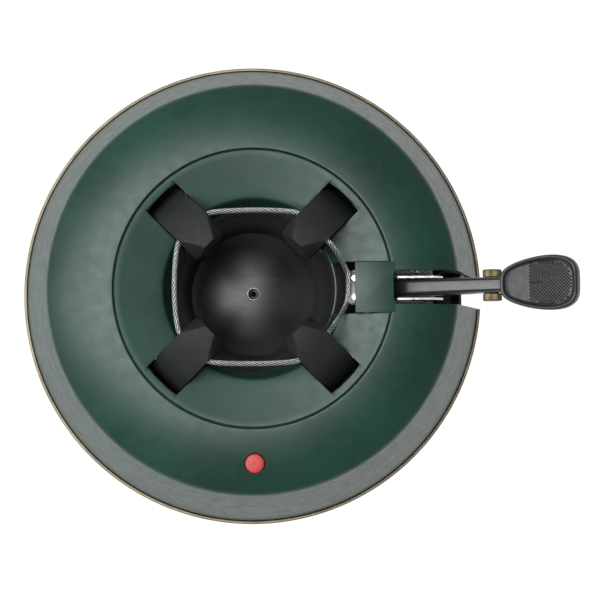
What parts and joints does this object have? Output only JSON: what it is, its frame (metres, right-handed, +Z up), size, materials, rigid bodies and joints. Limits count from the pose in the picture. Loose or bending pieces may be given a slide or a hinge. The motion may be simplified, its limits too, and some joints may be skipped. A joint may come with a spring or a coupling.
{
  "type": "foot-operated tree stand",
  "caption": "Round, low tree stand with a wire rope threaded through inward-tilting claws, wound up by a ratchet foot lever; water bowl and float gauge.",
  "frame": {"origin": "on the stand's vertical axis, on the surface it stands on", "axes": "+Z up along the trunk, +X along the foot lever, the water gauge lies at -Y"},
  "size_m": [0.4482, 0.4, 0.2057],
  "materials": {
    "shell_green": "satin, finely grained moulded polypropylene",
    "black_plastic": "satin moulded, black",
    "claw_plastic": "satin glass-filled nylon, near black",
    "bowl_plastic": "smooth moulded, black",
    "black_rubber": "matt",
    "bronze_plastic": "bronze-coloured, satin",
    "zinc_steel": "bright zinc-plated",
    "steel": "turned and oiled",
    "wire_rope": "galvanised strands",
    "lever_black": "black powder coat",
    "pad_black": "satin, knurled face",
    "float_white": "matt foam and rod",
    "gauge_red": "satin moulded, red"
  },
  "bodies": {
    "root": {"base_pan": "black_plastic", "rubber_feet": "black_rubber", "trim_ring": "bronze_plastic", "outer_shell": "shell_green", "slot_liner": "black_plastic", "cover_ring": "shell_green", "trunk_bowl": "bowl_plastic", "centre_spike": "steel", "claw_brackets": "zinc_steel", "claw_pins": "steel", "claw_springs": "steel", "bracket_screws": "steel", "cable_lead_north": "wire_rope", "cable_lead_south": "wire_rope", "cable_run_north": "wire_rope", "cable_run_south": "wire_rope", "guide_bracket": "steel", "guide_posts": "zinc_steel", "frame_plate_left": "zinc_steel", "frame_plate_right": "zinc_steel", "frame_spacers": "zinc_steel", "frame_bolts": "steel", "frame_screws": "steel", "hold_pawl_pin": "zinc_steel", "hold_pawl_spring": "steel", "lever_springs": "steel", "float_tube": "black_plastic"},
    "claw_ne_body": {"claw_ne": "claw_plastic"},
    "claw_nw_body": {"claw_nw": "claw_plastic"},
    "claw_sw_body": {"claw_sw": "claw_plastic"},
    "claw_se_body": {"claw_se": "claw_plastic"},
    "cable_north_body": {"cable_north": "wire_rope"},
    "cable_west_body": {"cable_west": "wire_rope"},
    "cable_south_body": {"cable_south": "wire_rope"},
    "drum": {"drum_shaft": "steel", "cable_drums": "zinc_steel", "drum_flanges": "zinc_steel", "cable_windings": "wire_rope", "ratchet_wheel": "steel"},
    "pedal": {"lever_arm": "lever_black", "drive_pawl_pin": "zinc_steel", "drive_pawl_spring": "steel", "pedal_pad": "pad_black", "pad_insert": "pad_black", "pad_screws": "steel", "lock_pin": "steel"},
    "drive_pawl_body": {"drive_pawl": "steel"},
    "hold_pawl_body": {"hold_pawl": "steel"},
    "lock_body": {"lock_catch": "bronze_plastic"},
    "float": {"float_body": "float_white", "float_stem": "float_white", "float_cap": "gauge_red"}
  },
  "joints": [
    {"name": "drum_spin", "type": "hinge", "parent": "root", "child": "drum", "pos_m": [0.132, 0, 0.09], "axis": [0, 1, 0], "range_deg": [0, 285]},
    {"name": "pedal_swing", "type": "hinge", "parent": "root", "child": "pedal", "pos_m": [0.132, 0, 0.09], "axis": [0, 1, 0], "range_deg": [0, 60], "stiffness_Nm_per_rad": 0.5, "springref_deg": -34.38},
    {"name": "drive_pawl_tilt", "type": "hinge", "parent": "pedal", "child": "drive_pawl_body", "pos_m": [0.11787, 0, 0.11648], "axis": [0, 1, 0], "range_deg": [0, 14]},
    {"name": "hold_pawl_tilt", "type": "hinge", "parent": "root", "child": "hold_pawl_body", "pos_m": [0.105, 0, 0.066], "axis": [0, 1, 0], "range_deg": [0, 12]},
    {"name": "lock_turn", "type": "hinge", "parent": "pedal", "child": "lock_body", "pos_m": [0.18755, 0, 0.14979], "axis": [0, 1, 0], "range_deg": [0, 30]},
    {"name": "float_rise", "type": "slide", "parent": "root", "child": "float", "axis": [0, 0, 1], "range_m": [0, 0.025]},
    {"name": "claw_ne_tilt", "type": "hinge", "parent": "root", "child": "claw_ne_body", "pos_m": [0.06788, 0.06788, 0.074], "axis": [0.7071, -0.7071, 0], "range_deg": [0, 28.5], "deforming": ["cable_lead_north"]},
    {"name": "claw_nw_tilt", "type": "hinge", "parent": "root", "child": "claw_nw_body", "pos_m": [-0.06788, 0.06788, 0.074], "axis": [0.7071, 0.7071, 0], "range_deg": [0, 28.5]},
    {"name": "claw_sw_tilt", "type": "hinge", "parent": "root", "child": "claw_sw_body", "pos_m": [-0.06788, -0.06788, 0.074], "axis": [-0.7071, 0.7071, 0], "range_deg": [0, 28.5]},
    {"name": "claw_se_tilt", "type": "hinge", "parent": "root", "child": "claw_se_body", "pos_m": [0.06788, -0.06788, 0.074], "axis": [-0.7071, -0.7071, 0], "range_deg": [0, 28.5], "deforming": ["cable_lead_south"]},
    {"name": "cable_north_draw", "type": "slide", "parent": "root", "child": "cable_north_body", "axis": [0, -0.711, -0.7032], "range_m": [0, 0.03346], "deforming": ["cable_north"]},
    {"name": "cable_west_draw", "type": "slide", "parent": "root", "child": "cable_west_body", "axis": [0.711, 0, -0.7032], "range_m": [0, 0.03346], "deforming": ["cable_west"]},
    {"name": "cable_south_draw", "type": "slide", "parent": "root", "child": "cable_south_body", "axis": [0, 0.711, -0.7032], "range_m": [0, 0.03346], "deforming": ["cable_south"]}
  ],
  "couplings": [
    {"joint": "claw_ne_tilt", "follows": "drum_spin", "ratio": 0.1},
    {"joint": "claw_nw_tilt", "follows": "drum_spin", "ratio": 0.1},
    {"joint": "claw_sw_tilt", "follows": "drum_spin", "ratio": 0.1},
    {"joint": "claw_se_tilt", "follows": "drum_spin", "ratio": 0.1},
    {"joint": "cable_north_draw", "follows": "drum_spin", "m_per_rad": 0.0067266},
    {"joint": "cable_west_draw", "follows": "drum_spin", "m_per_rad": 0.0067266},
    {"joint": "cable_south_draw", "follows": "drum_spin", "m_per_rad": 0.0067266}
  ]
}
